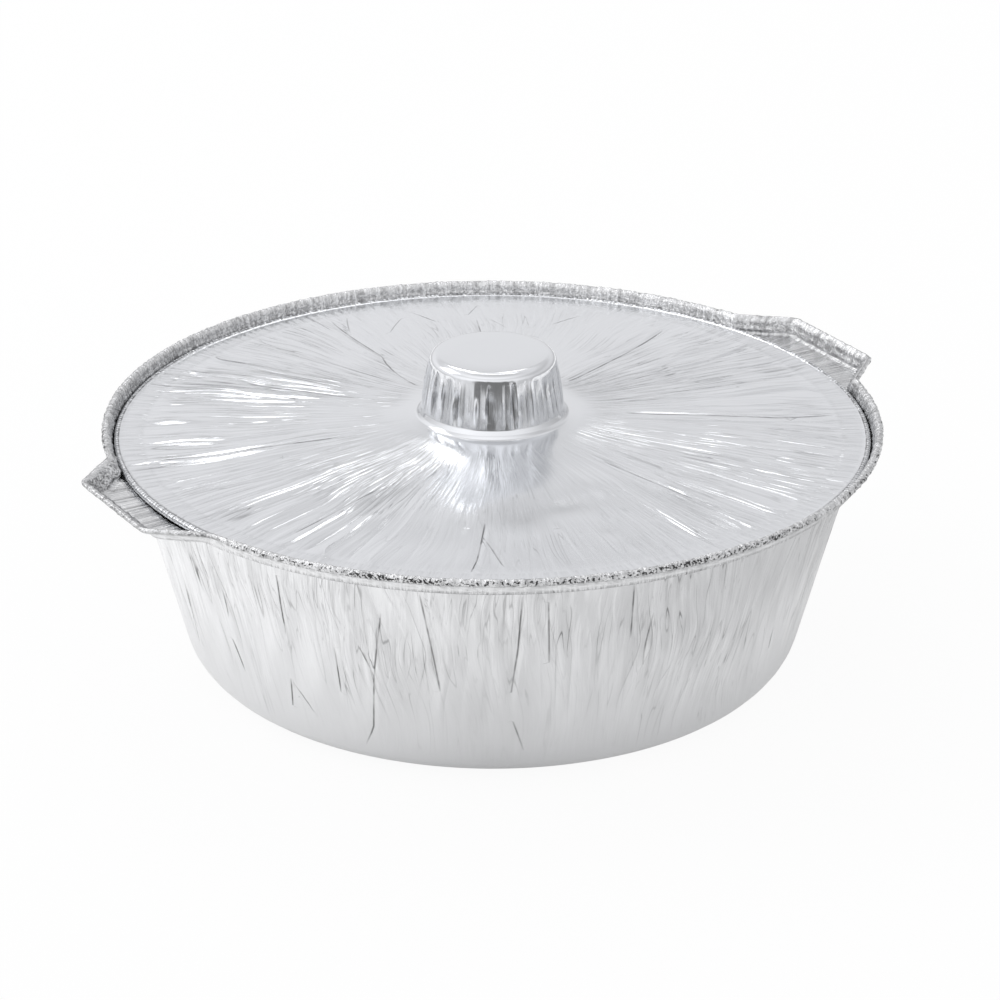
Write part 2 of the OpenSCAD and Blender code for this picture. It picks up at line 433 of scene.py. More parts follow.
def foilFinish(name, look):
    grain = foilGrain
    material, bench = newFinish(name)
    place = bench.node("ShaderNodeTexCoord", output=3)
    flat = bench.vector("MULTIPLY", place, (1, 1, 0))
    offAxis = bench.ease(bench.vector("LENGTH", flat, output=1), *grain["knobEdge"])
    # noise drawn out along the folds: round the axis it keeps its pitch, and it slants here and there
    drawn = bench.vector("MULTIPLY", bench.vector("NORMALIZE", flat), (look["middle"],) * 3)
    slant = (bench.noise(place, grain["slantScale"], 1.0) - 0.5) * look["slant"]
    drawn = bench.node(
        "ShaderNodeVectorRotate", {"rotation_type": "Z_AXIS"}, {"Vector": drawn, "Angle": slant})
    drawn = bench.vector("ADD", drawn, bench.vector("MULTIPLY", place, look["along"]))
    streak = bench.noise(drawn, grain["streakScale"], 2.0, 0.6)
    patch = bench.noise(place, grain["patchScale"], 2.0)
    busy = bench.ease(bench.noise(place, grain["busyScale"], 1.0), *grain["busy"])
    folded = bench.note("folded") * busy
    folds = abs(bench.noise(drawn, look["folds"], 1.0) - 0.5)
    tucks = abs(bench.noise(drawn, look["tucks"], 1.0) - 0.5)
    # painted shade along thin noise folds and tucks where the sheet is folded
    foldLine = bench.ease(folds, 0.0, grain["foldLine"], 1.0, 0.0) * bench.ease(patch, *grain["foldPatch"])
    tuckLine = bench.ease(tucks, 0.0, grain["tuckLine"], 1.0, 0.0) * bench.ease(patch, *grain["tuckPatch"])
    # folds that are in the mesh, listed creases, and crushed metal
    # painted shade along the mesh's folds and the listed creases
    line = bench.ease(abs(bench.note("fold")), 0.0, look["lineWidth"], 1.0, 0.0)
    line = line * bench.ease(bench.note("foldDepth"), *grain["lineDepth"])
    crease = bench.ease(abs(bench.note("crease")), 0.0, look["creaseWidth"], 1.0, 0.0)
    gaps = bench.ease(bench.noise(place, grain["gapScale"]), *grain["creaseGaps"])
    crease = crease * bench.note("creaseDepth") * gaps
    crumbs = bench.noise(place, grain["crumbScale"], 2.0, 0.6)
    # pits and crimps sink as bumps and also take painted shade
    pits = bench.note("pits") * bench.ease(crumbs + (patch - 0.5) * grain["crumbPatch"], *grain["pitEdge"])
    pits = pits.maths("MINIMUM", pits, 1.0)
    crimps = bench.note("crimp") * bench.ease(streak, *grain["crimpEdge"])
    # shade gathers the painted light and shade laid on the colour
    shade = (1.0 - line * look["lineDark"]) * (1.0 - crease * look["creaseDark"])
    shade = shade * (1.0 - foldLine * folded * look["foldDark"])
    shade = shade * (1.0 - tuckLine * folded * look["tuckDark"])
    streaked = (streak - 0.5) * offAxis * (grain["streakShade"] + folded * grain["foldedShade"])
    shade = shade * (grain["bright"] + streaked)
    # painted shade in the hollows beside the folds
    shade = shade * (1.0 - folded * bench.ease(folds, 0.0, grain["hollowWidth"], look["foldShade"], 0.0))
    # painted shade in pits, and the mesh's painted shade and painted highlight
    shade = shade * (1.0 - pits * grain["pitDark"]) * (1.0 - bench.note("pressed"))
    # painted shade in crimps
    shade = shade * (1.0 - crimps * grain["crimpDark"])
    tone = bench.node("ShaderNodeCombineColor", inputs={0: shade, 1: shade, 2: shade})
    colour = bench.node(
        "ShaderNodeMix", {"data_type": "RGBA", "blend_type": "MULTIPLY"},
        {"Factor": 1.0, 6: look["colour"], 7: tone}, output=2)
    rough = look["roughness"] + (streak * offAxis + patch - grain["roughMiddle"]) * look["roughSpread"]
    height = (folds * look["foldRise"] + tucks * look["tuckRise"]) * folded
    height = height + streak * offAxis * grain["streakRise"]
    height = height + crumbs * bench.note("crush") * grain["crushRise"] - pits * grain["pitSink"]
    height = height - line * grain["lineSink"] - crease * grain["creaseSink"] - crimps * grain["crimpSink"]
    bump = bench.node("ShaderNodeBump", inputs={"Strength": 1.0, "Distance": mm, "Height": height})
    shader = bench.node(
        "ShaderNodeBsdfPrincipled",
        inputs={"Base Color": colour, "Metallic": 1.0, "Roughness": rough, "Normal": bump})
    bench.node("ShaderNodeOutputMaterial", inputs={"Surface": shader})
    return material


# The rim's outline, with its two carrying lips
rim = {
    "radius": potHigh[1],
    "lipEdge": potHigh[0],
    "lipHalfWidth": 23.0,
    "lipRootHalfWidth": 37.5,
    "lipRound": 0.5,
    "leftLean": 3.2,
    "rightLean": 0.3,
    "lipCurl": 0.72,
    "lipZoneBeyond": 5.0,
    "lipBlend": 0.07,
}
lipRootX = math.sqrt(rim["radius"] ** 2 - rim["lipRootHalfWidth"] ** 2)
lipTurn = math.atan2(rim["lipEdge"] - lipRootX, rim["lipRootHalfWidth"] - rim["lipHalfWidth"])
lipOff = rim["lipEdge"] * math.cos(lipTurn) + rim["lipHalfWidth"] * math.sin(lipTurn)
lipZone = math.atan2(rim["lipRootHalfWidth"], lipRootX) + math.radians(rim["lipZoneBeyond"])


def fromLip(turn):
    angle = (np.asarray(turn) % 1.0) * 360
    return np.radians(np.minimum(np.abs(angle - 180 * np.round(angle / 180)), 90))


def inLip(turn):
    return smooth((lipZone - fromLip(turn)) / rim["lipBlend"])


def onRight(turn):
    return smooth(0.5 + 2 * np.cos(np.asarray(turn) * 2 * math.pi))


def softMin(a, b, k):
    return np.minimum(a, b) - np.maximum(k - np.abs(a - b), 0) ** 2 / k / 4


def outlineReach(turn, margin, lean):
    a = fromLip(turn)
    near = np.minimum(a, lipZone)
    k = 4 * rim["lipRound"]
    straight = (rim["lipEdge"] - margin - lean) / np.cos(near)
    slant = (lipOff - margin - lean) / np.cos(near - lipTurn)
    circle = rim["radius"] - margin + 0 * a
    joined = -softMin(-circle, -softMin(straight, slant, k), k / 2)
    return np.where(a > lipZone, circle, joined)


# Pot: one pressed sheet
pot = {
    "foil": 0.4,
    "curlHeight": 2.9,
    "ledgeDrop": 6.8,
    "ledgeWidth": 5.8,
    "upstandLean": 1.0,
    "stepOut": 0.2,
    "stepIn": 0.3,
    "stepHalfTall": 0.25,
    "curlFrom": 180.0,
    "curlTo": -110.0,
    "ledgeBend": 1.1,
    "floorRadius": 104.6,
    "footBend": 18.0,
    "wallRings": 22,
    "foldShares": (0.0, 0.03, 0.10, 0.22, 0.36, 0.50, 0.64, 0.78, 0.90, 0.97),
    "pleatDepth": 0.36,
    "shortDepth": 0.22,
    "gatherDepth": 0.32,
    "hairDepth": 0.05,
    "slackDepth": 0.22,
    "pleatsFrom": 6.0,
    "pleatsGrow": 24.0,
    "weaveTop": 0.12,
    "weaveFoot": 12.0,
    "ribWidth": 1.7,
    # the wall's pushed-in parts take painted shade, up to a most
    "wallLook": {
        "pressed": 0.22, "mostPaintedShade": 0.2, "footFolds": 0.25, "footFrom": 6.0, "footGrow": 12.0,
        "bodyFrom": 14.0, "bodyGrow": 40.0,
    },
    # rim looks: a base of painted shade over the band, painted highlight on rib and crush crests, painted
    # shade lines, patches, pits and crimps, and a painted shadow low in the gap under the lid
    "curlLook": {
        "rib": 0.30, "crushed": 0.16, "sunk": 0.16, "baseShade": 0.12, "ribHighlight": 0.35, "crushHighlight": 0.30,
        "lineShares": (0.33, 0.66), "lineWidth": 0.05, "lineDark": 0.4, "crush": 1.2, "lipCalm": 0.7,
        "pits": 1.9, "pitsAt": 15.0, "pitsSpread": 34.0, "lipPits": 0.6, "crimp": 0.4,
    },
    "upstandLook": {
        "rib": 0.34, "crushed": 0.10, "sunk": 0.0, "baseShade": 0.14, "ribHighlight": 0.50, "crushHighlight": 0.30,
        "lipCrushed": 0.50, "lipShadePatch": 0.45, "gapShadow": 0.85, "gapStart": 1.3, "gapTall": 2.2,
        "crush": 1.1, "lipCrush": 0.9, "pits": 0.3, "lipPits": 0.5, "crimp": 0.55,
    },
    "upstandBack": {
        "rib": 0.12, "crushed": 0.05, "sunk": 0.0, "baseShade": 0.05, "ribHighlight": 0.0, "crushHighlight": 0.2,
        "crush": 0.3, "crimp": 0.2,
    },
    # the ledge: painted shade in its crimps and a painted shadow under the lid's edge
    "ledgeLook": {
        "rib": 0.04, "lipRib": 0.16, "fold": 0.5, "lipFold": 0.4, "crimp": 0.8, "lipCrimp": 0.3,
        "bendCrush": 0.4, "baseShade": 0.04, "gapShadow": 0.88,
    },
    "creases": (
        (0.8, ((190.6, 59), (190.0, 46))), (1.0, ((189.2, 40), (190.8, 25))),
        (0.9, ((204.3, 77), (203.7, 49))), (0.9, ((202.8, 33), (201.3, 17))),
        (0.6, ((203.0, 31), (206.8, 18))), (0.9, ((212.7, 51), (212.6, 30))),
        (0.8, ((221.6, 68), (219.1, 41), (217.8, 19), (215.8, 11))), (0.9, ((217.0, 53), (218.9, 43))),
        (0.7, ((227.8, 78), (230.2, 36))), (0.7, ((229.6, 78), (229.4, 71))),
        (0.6, ((176.7, 48), (174.1, 22))), (0.8, ((243.0, 78), (242.5, 55), (241.5, 35))),
        (0.7, ((246.8, 76), (247.6, 47))), (0.6, ((241.7, 28), (244.3, 12))),
        (0.7, ((263.8, 66), (263.4, 51), (263.5, 41))), (0.8, ((259.9, 78), (260.6, 55))),
        (0.7, ((294.2, 38), (295.0, 26))), (0.7, ((295.4, 68), (296.3, 60))),
        (0.8, ((318, 74), (316, 41), (317, 30))), (0.7, ((341, 66), (339, 35))), (0.9, ((7, 60), (9, 28))),
        (0.8, ((28, 77), (31, 38))), (0.7, ((52, 52), (49, 20))), (0.9, ((74, 70), (77, 44), (75, 21))),
        (0.7, ((96, 77), (95, 50))), (0.8, ((118, 58), (121, 24))), (0.8, ((139, 75), (136, 46))),
        (0.7, ((158, 49), (160, 19))),
    ),
}
potWeave = Weave(13, 144, pot["foldShares"], 0.008)
pleats = Folds(11, 144, low=(0.02, 0.5), high=(0.75, 1.3), power=0.8).evenly(10)
shortPleats = Folds(17, 250, low=(0.1, 0.8), high=(0.4, 1.4), soft=0.12, snap=2)
gathers = Folds(23, 330, low=(0.62, 0.95), high=(1.3, 1.3), soft=0.10, snap=2)
hairPleats = Folds(29, 520, low=(-0.1, 0.8), high=(0.3, 1.4), soft=0.10)
slackWall = ripple(31, 30, 2)
rimRibs = Folds(41, 310, wave=2.4)
rimCrush = ripple(42, 700, 8)
lipCrush = ripple(47, 400, 5)
lipShadePatches = ripple(48, 120, 3)
ledgeRibs = Folds(53, 420)


def wallPush(columns, turn, height, fine):
    # outward push of the wall at a height, in millimetres
    way = height / (potHigh[2] - pot["ledgeDrop"])
    fade = float(smooth((height - pot["pleatsFrom"]) / pot["pleatsGrow"]))
    push = pot["pleatDepth"] * pleats.heights(columns, way) * fade
    push = push + pot["shortDepth"] * shortPleats.heights(columns, way) * fade
    push = push + pot["slackDepth"] * slackWall(turn, way) * fade
    if fine:
        push = push + pot["gatherDepth"] * gathers.heights(columns, way)
        push = push + pot["hairDepth"] * hairPleats.heights(columns, way) * fade
    return push


def potSection():
    half = pot["foil"] / 2
    top = potHigh[2]
    ledgeZ = top - pot["ledgeDrop"] + half
    curlRadius = pot["curlHeight"] / 2 - half
    curlAt = (rim["radius"] - pot["curlHeight"] / 2, top - pot["curlHeight"] / 2)
    ledgeOut = curlAt[0] - curlRadius - pot["upstandLean"]
    ledgeIn = ledgeOut - pot["ledgeWidth"]
    curlStart = (curlAt[0] - curlRadius, curlAt[1])
    section = Section((0.0, half))
    foot, bend = pot["footBend"], pot["ledgeBend"]
    section.corner((pot["floorRadius"], half), (ledgeIn, ledgeZ), foot, "floor", 4, "foot", 9)
    section.corner((ledgeIn, ledgeZ), (ledgeOut, ledgeZ), bend, "wall", pot["wallRings"], "ledgeIn", 3)
    section.corner((ledgeOut, ledgeZ), curlStart, bend, "ledge", 3, "ledgeOut", 3)
    midZ = ledgeZ + 0.5 * (curlStart[1] - ledgeZ)
    midR = ledgeOut + pot["stepOut"]
    section.run((midR, midZ - pot["stepHalfTall"]), "upstand", 3)
    section.run((midR + pot["stepIn"], midZ + pot["stepHalfTall"]), "upstand", 1)
    section.run(curlStart, "upstand", 3)
    section.bend(curlAt, curlRadius, pot["curlFrom"], pot["curlTo"], "curl", 12)
    return section, ledgeIn, ledgeOut, ledgeZ


def potRing(section, k, side, count, ledgeIn, ledgeOut, ledgeZ):
    zone, share = section.zone[k]
    r, z = section.at[k]
    facing = section.facing[k]
    onWall = zone in ("foot", "wall", "ledgeIn")
    seen = side < 0 if onWall else side > 0
    columns = columnsOf(count)
    turn = columns / finest
    push = 0 * turn
    notes = {}
    if onWall:
        way = z / (potHigh[2] - pot["ledgeDrop"])
        fadeTop = 1 - share if zone == "ledgeIn" else 1.0
        look = pot["wallLook"]
        free = float(smooth((1 - way) / pot["weaveTop"]) * smooth(z / pot["weaveFoot"]))
        turn = potWeave.turns(columns, way, free)
        push = -wallPush(columns, turn, z, seen) * fadeTop
        # painted shade where the wall is pushed in
        pressed = np.clip(look["pressed"] * push, 0, look["mostPaintedShade"]) * fadeTop
        if seen:
            dent, nearest, deep = handCreases(pot["creases"], turn, z, r)
            push = push - dent
            distance, depth = pleats.lines(columns, turn, way, r)
            low = smooth((z - look["footFrom"]) / look["footGrow"])
            body = (1 - look["footFolds"]) * smooth((z - look["bodyFrom"]) / look["bodyGrow"])
            folded = float(low * (look["footFolds"] + body)) * fadeTop
            notes = {"fold": distance, "foldDepth": depth * folded,
                     "crease": nearest, "creaseDepth": deep, "folded": folded, "pressed": pressed}
    if zone == "upstand" or (zone == "curl" and seen):
        look = pot[zone + ("Look" if seen else "Back")]
        lip = inLip(turn)
        ribs = 0.5 + 0.5 * share if zone == "curl" else 0.5 * share
        ridge = rimRibs.ridges(columns, ribs, pot["ribWidth"])
        crush = rimCrush(turn, ribs)
        push = look["rib"] * ridge + look["crushed"] * crush - look["sunk"]
        # painted shade over the rim band, less on rib and crush crests as painted highlight
        baseShade = np.clip(look["baseShade"] - look["ribHighlight"] * ridge - look["crushHighlight"] * crush, 0, 1)
        notes = {"pressed": baseShade, "crush": look["crush"], "crimp": look["crimp"]}
    if zone == "curl" and seen:
        faces = pot["curlFrom"] + (pot["curlTo"] - pot["curlFrom"]) * share
        facingFront = bell(faces, look["pitsAt"], look["pitsSpread"])
        # painted shade lines along the lip's rolled edge, and painted shade in pits on the curl's front face
        lines = sum(bell(share, line, look["lineWidth"]) for line in look["lineShares"])
        notes["pressed"] = baseShade + look["lineDark"] * lines * lip
        notes["crush"] = look["crush"] - look["lipCalm"] * lip
        notes["pits"] = look["pits"] * facingFront * (1 - look["lipPits"] * lip)
    if zone == "upstand" and seen:
        left, right = lip * (1 - onRight(turn)), lip * onRight(turn)
        push = push + look["lipCrushed"] * left * lipCrush(turn, share)
        # painted shade in patches on the right lip's upstand
        baseShade = baseShade + look["lipShadePatch"] * right * np.clip(lipShadePatches(turn, share), 0, 1)
        # painted shadow low on the upstand, in the gap under the lid
        gap = min(1.0, max(0.0, look["gapStart"] - (z - ledgeZ) / look["gapTall"]))
        notes["pressed"] = baseShade + look["gapShadow"] * (1 - lip) * gap
        notes["crush"] = look["crush"] + look["lipCrush"] * left
        notes["pits"] = look["pits"] + look["lipPits"] * left
    if zone in ("ledge", "ledgeOut"):
        look = pot["ledgeLook"]
        lip = inLip(turn)
        push = (look["rib"] + look["lipRib"] * lip) * ledgeRibs.heights(columns, 0.5)
        distance, depth = ledgeRibs.lines(columns, turn, 0.5, r)
        # crimps on the ledge take painted shade
        notes = {"fold": distance, "foldDepth": (look["fold"] + look["lipFold"] * lip) * depth,
                 "folded": 1.0, "crimp": look["crimp"] - look["lipCrimp"] * lip,
                 "crush": look["bendCrush"] if zone == "ledgeOut" else 0.0}
        if seen:
            # painted shadow on the ledge under the lid's edge, less on the lips
            notes["pressed"] = look["baseShade"] + look["gapShadow"] * (1 - lip)
    reachSide = side * pot["foil"] / 2 + push
    r, z = r + reachSide * facing[0], z + reachSide * facing[1] + 0 * turn
    if not onWall and zone != "floor":
        toOutline = min(1.0, (section.at[k][0] - ledgeIn) / (ledgeOut - ledgeIn))
        rise = min(1.0, (section.at[k][1] - ledgeZ) / (pot["ledgeDrop"] - pot["curlHeight"] / 2))
        lean = (rim["leftLean"] + (rim["rightLean"] - rim["leftLean"]) * onRight(turn)) * (1 - rise)
        margin = rim["radius"] - r
        if zone == "curl":
            slim = 1 - (1 - rim["lipCurl"]) * inLip(turn)
            margin, lean, z = margin * slim, 0.0, potHigh[2] - (potHigh[2] - z) * slim
        r = r * (1 - toOutline) + outlineReach(turn, margin, lean) * toOutline
    angle = turn * 2 * math.pi
    return np.stack([r * np.cos(angle), r * np.sin(angle), z], 1), notes


def potSheet():
    section, *ledge = potSection()
    half = pot["foil"] / 2
    last = len(section.at) - 1
    insideCounts = {"floor": 180, "foot": 360, "wall": 360, "ledgeIn": 720}
    outsideCounts = {"floor": 180, "foot": 720, "wall": 1440, "ledgeIn": 1440}
    sheet = Sheet()
    sheet.tip(section.at[0][1] + half)
    for k in range(1, last + 1):
        zone, share = section.zone[k]
        skipped = zone == "wall" and round(share * pot["wallRings"]) % 2
        if skipped or (zone == "foot" and k % 2):
            continue
        count = 720 if zone == "curl" and share > 0.7 else insideCounts.get(zone, 1440)
        sheet.ring(*potRing(section, k, 1, count, *ledge))
    for k in range(last, 0, -1):
        zone, share = section.zone[k]
        if zone == "curl" and k % 2:
            continue
        sheet.ring(*potRing(section, k, -1, outsideCounts.get(zone, 720), *ledge))
        if zone == "foot" and section.zone[k - 1][0] == "floor":
            sheet.ring(*potRing(section, k, -1, 360, *ledge))
    sheet.tip(section.at[0][1] - half)
    return sheet


# Lid: one pressed sheet with its knob
lid = {
    "foil": 0.4,
    "beadHeight": 2.3,
    "beadStart": 146.0,
    "ringWidth": 9.0,
    "rise": 6.0,
    "knobFoot": 24.5,
    "knobTop": 21.4,
    "knobBend": 3.2,
    "footRing": 25.2,
    "footRingHeight": 3.2,
    "footRingShoulder": 1.5,
    "footRingSpread": 1.0,
    "footRingBends": (2.2, 1.5, 1.5),
    "flare": 0.9,
    "flareWidth": 12.5,
    "flareSide": (218.0, 24.0, 2.8),
    "coneRings": 29,
    "foldShares": (0.0, 0.02, 0.06, 0.12, 0.19, 0.27, 0.35, 0.43,
                   0.51, 0.59, 0.67, 0.75, 0.83, 0.90, 0.95, 0.985),
    "foldDepth": 0.54,
    "shortDepth": 0.26,
    "hairDepth": 0.07,
    "slackDepth": 0.14,
    "weaveKnob": 0.08,
    "weaveRim": 0.05,
    # coneLook: sunk dents take painted shade
    "coneLook": {
        "spanRadius": 106.0, "spanPower": 1.7, "mostSpan": 1.2, "knobFrom": 0.02, "knobGrow": 0.18,
        "rimShare": 0.5, "rimGrow": 0.06, "calmFolds": 0.3, "pressed": -0.30, "mostPaintedShade": 0.2,
    },
    "ringLook": {
        "fold": 0.5, "span": 1.2, "tick": 0.09, "tickEnd": 0.8, "edge": 0.2, "edgeCrimp": 0.22,
        "crimp": 0.12, "folds": 0.8, "foldsFade": 0.4,
    },
    # fluteLook: painted shade in flute valleys and painted highlight on their ridges
    "fluteLook": {
        "depth": 0.58, "power": 0.6, "crease": 0.8, "pressed": -1.0, "leastPaintedShade": -0.20,
        "mostPaintedShade": 0.22, "crimp": 0.12,
    },
    # beadLook: painted shade dots in the bead's gaps and a painted shade line along its inner side
    "beadLook": {
        "out": 0.02, "gap": 0.12, "dark": 0.25, "dotDark": 0.65, "dotAt": 0.18, "dotWidth": 0.25,
        "lineDark": 0.9, "lineAt": 0.1, "lineWidth": 0.06, "lineShare": 0.5, "crush": 0.4, "crimp": 0.5,
    },
    "creases": (
        (0.9, ((164.0, 120), (165.0, 93), (166.3, 54))), (0.8, ((89.5, 117), (92.4, 72), (104, 36))),
        (0.9, ((19.1, 40), (24.2, 113))), (0.8, ((333.6, 45), (332.3, 99), (333.8, 120))),
        (0.9, ((236.9, 83), (236.0, 111), (235.1, 122))), (0.7, ((237.1, 97), (238.3, 102), (240.5, 117))),
        (0.7, ((128, 50), (126, 96))), (0.7, ((60, 44), (62, 101))), (0.6, ((283, 52), (285, 104))),
        (0.7, ((205, 60), (203, 112))), (0.6, ((0, 50), (357, 108))),
        (0.6, ((70, 98), (75, 116))), (0.5, ((83, 92), (76, 110))), (0.5, ((64, 104), (61, 119))),
        (0.5, ((90, 100), (86, 118))), (0.4, ((55, 90), (60, 103))), (0.5, ((46, 96), (41, 112))),
    ),
    "calm": (
        (246, 26, 0.85), (300, 30, 0.45), (56, 30, 0.75), (100, 14, 0.4), (148, 9, 0.6), (178, 8, 0.4),
        (345, 12, 0.3),
    ),
    "dents": (
        (261, 98, 3.4, 3.4, 0.25), (263.4, 109, 3.2, 2.8, 0.20), (256.5, 78, 8, 6, 0.40),
        (244.5, 84, 9, 10, 0.55), (232, 62, 5, 8, 0.32), (270, 66, 6, 9, -0.40),
        (208, 74, 5, 12, 0.5), (214, 88, 4, 9, -0.4), (283, 92, 7, 10, 0.42),
        (131, 96, 3.6, 15, -0.95), (121, 84, 3.0, 14, -0.80), (146.5, 112, 2.4, 8, -0.60),
    ),
}
lidWeave = Weave(63, 90, lid["foldShares"], 0.005)
fans = Folds(61, 90, low=(-0.2, 0.85), high=(0.9, 1.8), soft=0.25, power=0.7).evenly(16)
shortFans = Folds(67, 270, low=(-0.1, 0.7), high=(0.4, 1.7), soft=0.12, snap=2)
hairFans = Folds(68, 540, low=(-0.1, 0.8), high=(0.3, 1.7), soft=0.10)
ringTicks = Folds(69, 480)
slackLid = ripple(71, 22, 5)
flutes = Folds(73, 104, low=(-0.3, 0.25), high=(0.6, 1.3), soft=0.2, power=0.7, snap=2, uneven=0.5)
beadGaps = np.random.default_rng(79).uniform(0.3, 1.0, finest // 3)
beadPearls = ripple(83, 450, 1)


def calmness(turn):
    # less than 1 where the lid has few folds: "calm" holds (degrees, half width, how much less)
    keep = 1.0 + 0 * np.asarray(turn)
    for degrees, spread, amount in lid["calm"]:
        apart = np.abs(degreesApart(turn, degrees))
        keep = keep * (1 - amount * smooth(1.6 - apart / spread))
    return keep


def lidSection():
    half = lid["foil"] / 2
    top = lidHigh[2] - half
    beadRadius = lid["beadHeight"] / 2 - half
    beadAt = (lidHigh[0] - lid["beadHeight"] / 2, lidLow[2] + lid["beadHeight"] / 2)
    beadStart = math.radians(lid["beadStart"])
    ringZ = beadAt[1] + beadRadius * math.sin(beadStart)
    ringOut = beadAt[0] + beadRadius * math.cos(beadStart)
    ringIn = ringOut - lid["ringWidth"]
    coneZ = beadAt[1] + lid["rise"]
    wallFoot = (lid["knobFoot"], coneZ + lid["footRingHeight"])
    ringTop = (lid["footRing"], coneZ + lid["footRingShoulder"])
    ringFoot = (lid["footRing"] + lid["footRingSpread"], coneZ)
    bends = lid["footRingBends"]
    section = Section((0.0, top))
    section.corner((lid["knobTop"], top), wallFoot, lid["knobBend"], "knobTop", 3, "shoulder", 7)
    section.corner(wallFoot, ringTop, bends[0], "knobWall", 14, "footRing", 4)
    section.corner(ringTop, ringFoot, bends[1], "footRing", 1, "footRing", 3)
    section.corner(ringFoot, (ringIn, ringZ), bends[2], "footRing", 1, "footRing", 3)
    section.run((ringIn, ringZ), "cone", lid["coneRings"])
    section.run((ringOut, ringZ), "ring", 6)
    section.bend(beadAt, beadRadius, lid["beadStart"], -110, "bead", 10)
    return section, ringFoot[0], ringIn


def lidPush(columns, turn, way, span, fine):
    keep = calmness(turn)
    push = lid["foldDepth"] * fans.heights(columns, way) * keep * span
    push = push + lid["shortDepth"] * shortFans.heights(columns, way) * keep * span
    push = push + lid["slackDepth"] * slackLid(turn, way)
    if fine:
        push = push + lid["hairDepth"] * hairFans.heights(columns, way) * span
    return push


def lidDents(turn, radius):
    # soft dents in the lid, as (degrees, radius, half width, half length, depth); below 0 it stands up
    push = 0 * turn
    for degrees, middle, wide, long, deep in lid["dents"]:
        apart = sideways(turn, degrees / 360, radius)
        push = push - deep * np.exp(-(apart / wide) ** 2 - ((radius - middle) / long) ** 2)
    return push


def lidRing(section, k, side, count, coneIn, coneOut):
    zone, share = section.zone[k]
    r, z = section.at[k]
    facing = section.facing[k]
    columns = columnsOf(count)
    turn = columns / finest
    push = 0 * turn
    notes = {}
    if zone == "cone":
        look = lid["coneLook"]
        way = (r - coneIn) / (coneOut - coneIn)
        degrees, spread, more = lid["flareSide"]
        apart = degreesApart(turn, degrees) / spread
        rise = lid["flare"] + more * np.exp(-apart ** 2)
        z = z + rise * (bell(r, coneIn, lid["flareWidth"]) - 1 + way)
        free = float(smooth(way / lid["weaveKnob"]) * smooth((1 - way) / lid["weaveRim"]))
        turn = lidWeave.turns(columns, way, free)
        atRim = look["rimShare"] + (1 - look["rimShare"]) * smooth((1 - way) / look["rimGrow"])
        ends = float(smooth((way - look["knobFrom"]) / look["knobGrow"]) * atRim)
        dents = lidDents(turn, r)
        span = min(look["mostSpan"], (r / look["spanRadius"]) ** look["spanPower"])
        push = lidPush(columns, turn, way, span, side > 0) * ends + dents
        if side > 0:
            dent, nearest, deep = handCreases(lid["creases"], turn, r, r)
            push = push + dent
            distance, depth = fans.lines(columns, turn, way, r)
            lively = look["calmFolds"] + (1 - look["calmFolds"]) * calmness(turn)
            # sunk dents take painted shade
            notes = {"fold": distance, "foldDepth": depth * calmness(turn) * ends, "crease": nearest,
                     "creaseDepth": deep, "folded": ends * lively,
                     "pressed": np.clip(look["pressed"] * dents, 0, look["mostPaintedShade"])}
    if zone == "ring" and side > 0:
        look = lid["ringLook"]
        push = look["fold"] * (1 - share) ** 2 * lidPush(columns, turn, 1.0, look["span"], True)
        ticked = math.sin(math.pi * min(share, look["tickEnd"]))
        push = push + look["tick"] * ringTicks.heights(columns, share) * ticked
        # the ring's crimp ticks take painted shade
        notes = {"crimp": look["edgeCrimp"] if share < look["edge"] else look["crimp"],
                 "folded": look["folds"] * (1 - look["foldsFade"] * share) * calmness(turn)}
    if zone == "knobWall":
        look = lid["fluteLook"]
        arch = math.sin(math.pi * share)
        push = look["depth"] * arch ** look["power"] * flutes.heights(columns, 1 - share)
        if side > 0:
            distance, depth = flutes.lines(columns, turn, 1 - share, r)
            # painted shade in the flutes' valleys and painted highlight on their ridges
            pressed = np.clip(look["pressed"] * push, look["leastPaintedShade"], look["mostPaintedShade"])
            notes = {"crease": distance, "creaseDepth": look["crease"] * depth * arch,
                     "pressed": pressed, "crimp": look["crimp"] * arch}
    if zone == "bead" and side > 0:
        look = lid["beadLook"]
        gap = np.where(columns % 3 == 0, beadGaps[columns // 3], 0.0)
        push = look["out"] - look["gap"] * gap
        # painted shade: dark dots in the bead's gaps and a dark line along its inner side
        dots = look["dark"] + look["dotDark"] * bell(share, look["dotAt"], look["dotWidth"])
        pearls = np.clip(look["lineShare"] + beadPearls(turn, 0.5), 0, 1)
        inner = look["lineDark"] * bell(share, look["lineAt"], look["lineWidth"]) * pearls
        notes = {"pressed": dots * gap * (1 - inner) + inner, "crush": look["crush"], "crimp": look["crimp"]}
    r = r + (side * lid["foil"] / 2 + push) * facing[0]
    z = z + (side * lid["foil"] / 2 + push) * facing[1]
    angle = turn * 2 * math.pi
    return np.stack([r * np.cos(angle), r * np.sin(angle), z + 0 * turn], 1), notes


